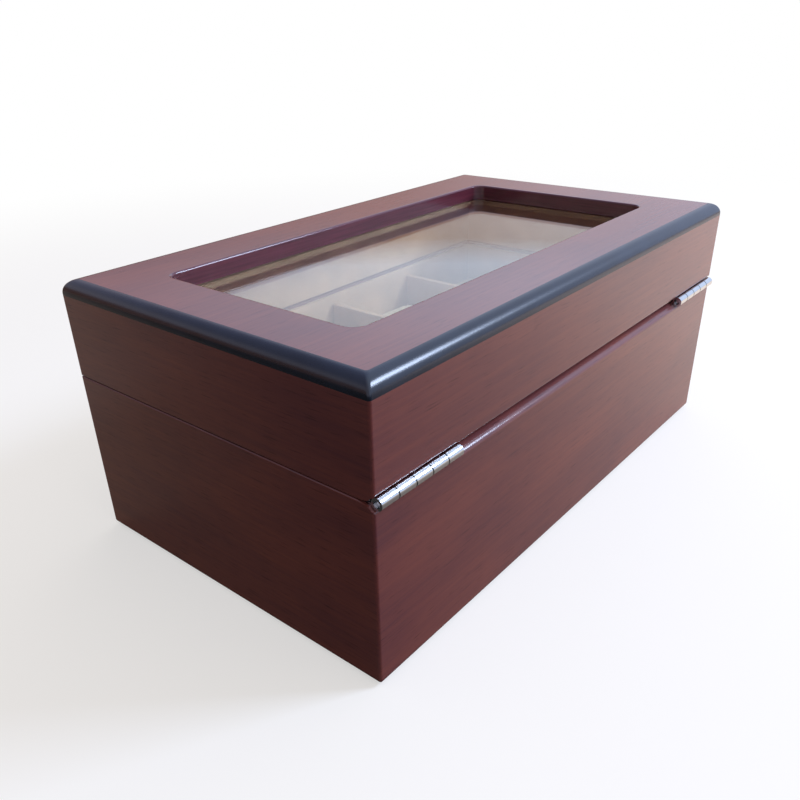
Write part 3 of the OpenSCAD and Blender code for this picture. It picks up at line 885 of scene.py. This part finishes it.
class BOX_OT_glazing(Undoable, bpy.types.Operator):
    """Build the glass and the suede-covered frame that holds it up"""
    bl_idname = "display_box.glazing"
    bl_label = "Glazing"

    def execute(self, context):
        pane = board_mesh("glass_pane", context.scene.box_sizes.plain_ease)
        add_piece(pane, glass_finish(), "glass", "lid", "glass_pane")
        add_piece(retainer_mesh(), cloth("retainer"), "suede", "lid", "glass_retainer")
        return {"FINISHED"}


class BOX_OT_linings(Undoable, bpy.types.Operator):
    """Build the floor panel, the felt, the velvet floor lining and the liner boards"""
    bl_idname = "display_box.linings"
    bl_label = "Linings"

    def execute(self, context):
        sizes = context.scene.box_sizes
        for node, ease, material, slot in (
            ("floor_panel", sizes.plain_ease, board_finish(), "raw_board"),
            ("underside_felt", sizes.plain_ease, cloth("felt"), "felt"),
            ("floor_lining", sizes.cloth_ease, cloth("cushion"), "cushion"),
        ):
            add_piece(board_mesh(node, ease), material, slot, "base", node)
        for body in ("base", "lid"):
            for side in SIDES:
                node = f"{body}_liner_{side}"
                add_piece(board_mesh(node, sizes.cloth_ease), cloth("suede"), "suede", body, node)
        return {"FINISHED"}


class BOX_OT_dividers(Undoable, bpy.types.Operator):
    """Build the dividers, halved where they cross"""
    bl_idname = "display_box.dividers"
    bl_label = "Dividers"

    def execute(self, context):
        crosses = ["cross_divider_" + place for place in ("left", "middle", "right")]
        boxes = [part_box(node) for node in crosses]
        centres = [(low.x + high.x) / 2 for low, high in boxes]
        low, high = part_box("long_divider")
        cuts = {"long_divider": (centres, boxes[0][1].x - boxes[0][0].x, True)}
        cuts |= {node: ([0.0], high.y - low.y, False) for node in crosses}
        for node, cut in cuts.items():
            add_piece(divider_mesh(node, *cut), cloth("suede"), "suede", "base", node)
        return {"FINISHED"}


class BOX_OT_pads(Undoable, bpy.types.Operator):
    """Swell one cushion as cloth and put a copy in each well"""
    bl_idname = "display_box.pads"
    bl_label = "Pads"

    def execute(self, context):
        cover = swollen_pad()
        # Neighbours are mirrored so that they differ
        for row, flip_y in (("front", 1), ("rear", -1)):
            for column, flip_x in ((1, 1), (2, -1), (3, 1), (4, -1)):
                node = f"watch_pad_{row}_{column}"
                mesh = pad_copy(cover, node, (flip_x, flip_y, 1))
                pad = add_piece(mesh, cloth("cushion"), "cushion", "base", node)
        return {"FINISHED"}


class BOX_OT_hinges(Undoable, bpy.types.Operator):
    """Finish the hinges' leaves, pins and screws"""
    bl_idname = "display_box.hinges"
    bl_label = "Hinges"

    def execute(self, context):
        finish = context.scene.box_finish
        chrome = metal_finish(
            "polished chrome plate", finish.chrome, roughness=0.10, mark=4 * MM, depth=0.004 * MM,
        )
        steel = metal_finish("drawn steel", finish.steel, roughness=0.25, mark=0.5 * MM, depth=0.01 * MM)
        for hand in ("left", "right"):
            repaint(f"hinge_{hand}_pin", steel)
            for body in ("base", "lid"):
                repaint(f"hinge_{hand}_{body}_leaf", chrome)
        for body in ("base", "lid"):
            repaint(f"{body}_leaf_screws", chrome)
        return {"FINISHED"}


def seen_share(tree):
    """1 for what the camera sees, straight or through the glass, and 0 for other rays."""
    rays = add(tree, "LightPath").node.outputs
    return add(tree, "Math", {
        0: rays["Is Camera Ray"], 1: rays["Is Transmission Ray"],
    }, operation="MAXIMUM")


class BOX_OT_studio(Undoable, bpy.types.Operator):
    """Set up the floor, the surround, the key lamp and the camera"""
    bl_idname = "display_box.studio"
    bl_label = "Studio"

    # The photograph's camera: place in metres, then azimuth, elevation and roll in degrees
    PLACE = (0.24475, 0.18343, 0.17735)
    TURN = (130.4124, 28.8894, -1.560)
    # Focal length and optical centre in pixels of an 800 pixel frame
    FOCAL = 772.22
    CENTRE = (391.51, 442.02)
    FRAME = 800
    # The key lamp's direction from the middle of the box, its distance and its side in metres
    KEY_DIRECTION = (-0.56, 0.57, 0.60)
    KEY_DISTANCE = 1.2
    KEY_SIDE = 0.34
    # The floor, in metres: half its side, where it fades to white, and where along FLOOR_AXIS the box
    # sees its painted light and shade turn from dim to bright
    FLOOR_HALF = 3.0
    FADE = (0.3, 0.8)
    FLOOR_AXIS = (-1, -0.6, 0)
    DIM_TO_BRIGHT = (-0.19, 0.17)
    # The window's direction, and the stops of the far tones for gloss and for light, the middle tone
    # and the window's tone on the surround's ramps
    WINDOW = (-0.80, 0.50, 0.33)
    FAR_STOPS = (0.54, 0.55)
    MIDDLE_STOP = 0.76
    WINDOW_STOP = 0.95
    # Heights of a ray between which the low and high tints set in, and their share for a unit of y
    LOW_HEIGHTS = (0.275, 0.245)
    HIGH_HEIGHTS = (0.42, 0.62)
    TINT_SHARE = -1.6

    def execute(self, context):
        settings = context.scene.studio
        self.floor(settings)
        self.surround(settings)
        self.key_lamp(settings)
        self.camera()
        context.scene.view_settings.view_transform = "Standard"
        return {"FINISHED"}

    def floor(self, settings):
        """A sheet that keeps the box's shadow and fades to white far out. Its colour, as the box sees it,
        is
        painted light and shade: dim on one side and bright on the other, by the distance along
        FLOOR_AXIS."""
        reach = (self.FLOOR_HALF, self.FLOOR_HALF)
        mesh = bpy.data.meshes.new("floor")
        corners = [(x, y, 0) for x, y in rectangle(np.negative(reach), reach)]
        mesh.from_pydata(corners, [], [(0, 1, 2, 3)])
        material, tree, shader = new_finish("matt white paper", Roughness=0.9, Specular_IOR_Level=0.1)
        seen = seen_share(tree)
        place = add(tree, "TexCoord", out="Object")
        toward = add(tree, "VectorMath", {0: place, 1: self.FLOOR_AXIS}, operation="DOT_PRODUCT")
        dim_end, bright_start = self.DIM_TO_BRIGHT
        window = add(tree, "MapRange", {"Value": toward, "From Min": dim_end, "From Max": bright_start})
        # Painted light and shade: the colour that the box's gloss and bounce see, dim away from the
        # window and bright towards it
        painted_light = add(tree, "Mix", {
            "Factor": window, "A": settings.dim, "B": settings.bright,
        }, data_type="RGBA")
        tone = add(tree, "Mix", {"Factor": seen, "A": painted_light, "B": settings.floor}, data_type="RGBA")
        near, far = self.FADE
        fade = add(tree, "MapRange", {
            "Value": add(tree, "VectorMath", {0: place}, operation="LENGTH"),
            "From Min": near, "From Max": far, "To Min": settings.lift,
        }, interpolation_type="SMOOTHSTEP")
        share = add(tree, "Math", {0: fade, 1: seen}, operation="MULTIPLY")
        both = add(tree, "MixShader", {0: share, 1: shader.outputs["BSDF"], 2: add(tree, "Emission")})
        fill(shader, {"Base Color": tone})
        fill(tree.nodes["Material Output"], {"Surface": both})
        mesh.materials.append(material)
        piece = bpy.data.objects.new("floor", mesh)
        bpy.context.collection.objects.link(piece)
        piece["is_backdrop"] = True

    def surround(self, settings):
        """White to the camera and through glass. To the rest, a room lit by a window: its tone goes by
        the cosine between the ray and the window, and the gloss sees the far side brighter than the
        light that falls on the box. Across the room, by TINT_SHARE times y and at most 1, the gloss
        mirrors it darker and warmer where it is low, and darker where it is high."""
        world = bpy.data.worlds.new("studio surround")
        bpy.context.scene.world = world
        world.use_nodes = True
        tree = world.node_tree
        ray = add(tree, "TexCoord", out="Generated")
        window = Vector(self.WINDOW).normalized()
        toward = add(tree, "VectorMath", {0: ray, 1: window}, operation="DOT_PRODUCT")
        half = add(tree, "MapRange", {"Value": toward, "From Min": -1.0})
        skies = []
        for start, far in zip(self.FAR_STOPS, (settings.room, settings.shade)):
            sky = ramp(tree, half, [
                (start, far), (self.MIDDLE_STOP, settings.middle), (self.WINDOW_STOP, settings.window),
            ])
            skies.append(add(tree, "Mix", {
                "Factor": 1.0, "A": sky, "B": [settings.gain] * 3 + [1],
            }, data_type="RGBA", blend_type="MULTIPLY"))
        mirrored, falling = skies
        axes = add(tree, "SeparateXYZ", {"Vector": ray}).node.outputs
        for (start, end), tint in ((self.LOW_HEIGHTS, settings.low), (self.HIGH_HEIGHTS, settings.high)):
            share = add(tree, "MapRange", {"Value": axes["Z"], "From Min": start, "From Max": end})
            for factor, clamp in ((axes["Y"], False), (self.TINT_SHARE, True)):
                share = add(tree, "Math", {0: share, 1: factor}, operation="MULTIPLY", use_clamp=clamp)
            mirrored = add(tree, "Mix", {
                "Factor": share, "A": mirrored, "B": tint,
            }, data_type="RGBA", blend_type="MULTIPLY")
        light = add(tree, "Mix", {
            "Factor": 1.0, "A": falling, "B": settings.fill,
        }, data_type="RGBA", blend_type="MULTIPLY")
        glossy = add(tree, "LightPath", out="Is Glossy Ray")
        first = add(tree, "Mix", {"Factor": glossy, "A": light, "B": mirrored}, data_type="RGBA")
        last = add(tree, "Mix", {
            "Factor": seen_share(tree), "A": first, "B": (1, 1, 1, 1),
        }, data_type="RGBA")
        fill(tree.nodes["Background"], {"Color": last})

    def key_lamp(self, settings):
        """A square lamp that faces the middle of the box."""
        light = bpy.data.lights.new("key lamp", "AREA")
        light.energy = settings.key
        light.color = settings.key_tone[:3]
        light.size = self.KEY_SIDE
        aim = Vector(self.KEY_DIRECTION).normalized()
        middle = Vector((0, 0, (CAD_BOX[0][2] + CAD_BOX[1][2]) / 2))
        place = bpy.data.objects.new("key lamp", light)
        place.location = middle + aim * self.KEY_DISTANCE
        place.rotation_euler = aim.to_track_quat("Z", "Y").to_euler()
        bpy.context.collection.objects.link(place)

    def camera(self):
        """The view's axes are back = (sin a cos e, -cos a cos e, sin e), right = up x back turned by the
        roll, and up at right angles to both."""
        a, e, roll = np.radians(self.TURN)
        back = Vector((math.sin(a) * math.cos(e), -math.cos(a) * math.cos(e), math.sin(e)))
        right = Vector((0, 0, 1)).cross(back).normalized()
        up = back.cross(right)
        turned = math.cos(roll) * right + math.sin(roll) * up
        upright = math.cos(roll) * up - math.sin(roll) * right
        lens = bpy.data.cameras.new("camera")
        lens.sensor_width = 36
        lens.lens = self.FOCAL * lens.sensor_width / self.FRAME
        lens.shift_x = (self.FRAME / 2 - self.CENTRE[0]) / self.FRAME
        lens.shift_y = (self.CENTRE[1] - self.FRAME / 2) / self.FRAME
        lens.clip_start = 0.01
        view = bpy.data.objects.new("camera", lens)
        view.matrix_world = Matrix.Translation(self.PLACE) @ Matrix(
            (turned, upright, back)).transposed().to_4x4()
        bpy.context.collection.objects.link(view)
        bpy.context.scene.camera = view


GROUPS = {"box_sizes": BoxSizes, "box_finish": BoxFinish, "studio": StudioSettings}
STEPS = (
    BOX_OT_walls, BOX_OT_top, BOX_OT_glazing, BOX_OT_linings, BOX_OT_dividers, BOX_OT_pads,
    BOX_OT_hinges, BOX_OT_studio,
)


class BOX_PT_panel(bpy.types.Panel):
    """The box's sizes, finishes and steps in the 3D view's sidebar"""
    bl_label = "Display Box"
    bl_idname = "BOX_PT_panel"
    bl_space_type = "VIEW_3D"
    bl_region_type = "UI"
    bl_category = "Display Box"

    def draw(self, context):
        for group_name in GROUPS:
            group = getattr(context.scene, group_name)
            box = self.layout.box()
            for name in group.bl_rna.properties.keys():
                if name not in ("rna_type", "name"):
                    box.prop(group, name)
        for step in STEPS:
            self.layout.operator(step.bl_idname)


CLASSES = (*GROUPS.values(), *STEPS, BOX_PT_panel)


def register():
    for entry in CLASSES:
        bpy.utils.register_class(entry)
    for name, group in GROUPS.items():
        setattr(bpy.types.Scene, name, PointerProperty(type=group))


def unregister():
    for name in GROUPS:
        delattr(bpy.types.Scene, name)
    for entry in reversed(CLASSES):
        bpy.utils.unregister_class(entry)


def corners(box):
    return [list(map(float, corner)) for corner in box]


def main():
    register()
    for step in STEPS:
        name = step.bl_idname.split(".")[1]
        getattr(bpy.ops.display_box, name)()
    {"cad": corners(CAD_BOX), "visual": corners(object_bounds())}


if __name__ == "__main__":
    main()
